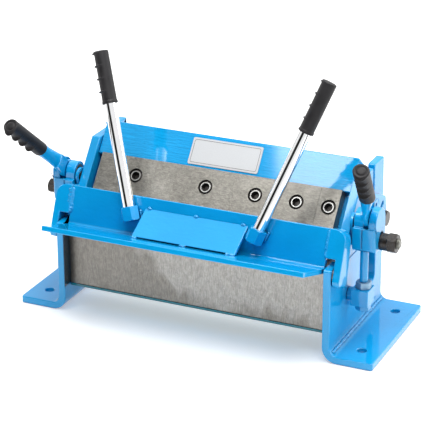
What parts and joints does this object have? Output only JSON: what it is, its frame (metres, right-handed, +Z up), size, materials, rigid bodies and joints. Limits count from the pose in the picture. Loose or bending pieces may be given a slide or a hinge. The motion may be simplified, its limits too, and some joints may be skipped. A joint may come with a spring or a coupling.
{
  "type": "box and pan brake",
  "caption": "Bench-top box and pan brake with a swing-up folding apron, a clamping beam with a row of removable fingers, and clamp levers.",
  "frame": {"origin": "centre of the four bench bolt holes, on the underside of the feet", "axes": "+X along the bed to the operator's right, +Y away from the operator, +Z up"},
  "size_m": [0.4508, 0.2247, 0.31],
  "materials": {
    "blue_paint": "smooth semi-gloss enamel",
    "ground_steel": "surface ground, faint upright grinding lines",
    "chrome": "polished",
    "black_rubber": "matt, moulded ridges",
    "bearing_brass": "turned",
    "white_plate": "plain, with a thin black border",
    "zinc_steel": "bright zinc plating",
    "turned_steel": "turned",
    "black_steel": "black oxide"
  },
  "bodies": {
    "base": {"side_frame_left": "blue_paint", "side_frame_right": "blue_paint", "bed": "ground_steel", "bed_tie_plate": "blue_paint", "bed_screws": "black_steel", "rear_tie_bar": "blue_paint", "hinge_bushes": "bearing_brass", "yoke_left": "blue_paint", "yoke_right": "blue_paint", "draw_rod_left": "blue_paint", "draw_rod_right": "blue_paint", "lower_block_left": "blue_paint", "lower_block_right": "blue_paint", "rod_lock_nuts": "zinc_steel", "pivot_bolts": "black_steel", "pivot_washers": "zinc_steel"},
    "apron": {"apron_leaf": "blue_paint", "apron_gusset": "blue_paint", "apron_arm_left": "blue_paint", "apron_arm_right": "blue_paint", "hinge_pin_left": "turned_steel", "hinge_pin_right": "turned_steel", "handle_socket_left": "blue_paint", "handle_socket_right": "blue_paint", "handle_rod_left": "chrome", "handle_rod_right": "chrome", "handle_grip_left": "black_rubber", "handle_grip_right": "black_rubber"},
    "beam": {"beam_panel": "blue_paint", "label_plate": "white_plate", "beam_rear_plate": "blue_paint", "beam_arm_screws": "blue_paint", "finger_screws": "black_steel", "finger_1": "ground_steel", "finger_2": "ground_steel", "finger_3": "ground_steel", "finger_4": "ground_steel", "finger_5": "ground_steel", "beam_end_plate_left": "blue_paint", "beam_end_plate_right": "blue_paint", "beam_arm_left": "blue_paint", "beam_arm_right": "blue_paint", "lift_strap_left": "blue_paint", "lift_strap_right": "blue_paint", "guide_studs": "black_steel", "spacer_collars": "black_steel", "guide_nuts": "black_steel"},
    "lever_right": {"clamp_lever_right": "blue_paint", "eccentric_shaft_right": "turned_steel", "hub_screw_right": "zinc_steel", "lever_grip_right": "black_rubber"},
    "lever_left": {"clamp_lever_left": "blue_paint", "eccentric_shaft_left": "turned_steel", "hub_screw_left": "zinc_steel", "lever_grip_left": "black_rubber"}
  },
  "joints": [
    {"name": "apron_hinge", "type": "hinge", "parent": "base", "child": "apron", "pos_m": [0, -0.0716, 0.1024], "axis": [1, 0, 0], "range_deg": [0, 108.4]},
    {"name": "lever_right_pivot", "type": "hinge", "parent": "base", "child": "lever_right", "pos_m": [0.19215, -0.0161, 0.151], "axis": [-1, 0, 0], "range_deg": [0, 100]},
    {"name": "lever_left_pivot", "type": "hinge", "parent": "base", "child": "lever_left", "pos_m": [-0.19215, -0.0161, 0.151], "axis": [-1, 0, 0], "range_deg": [0, 100]},
    {"name": "beam_pivot", "type": "hinge", "parent": "base", "child": "beam", "pos_m": [0, 0.0625, 0.122], "axis": [-1, 0, 0], "range_deg": [0, 3.92]}
  ],
  "couplings": [
    {"joint": "lever_left_pivot", "follows": "lever_right_pivot", "ratio": 1},
    {"joint": "beam_pivot", "follows": "lever_right_pivot", "ratio": 0.03909}
  ]
}
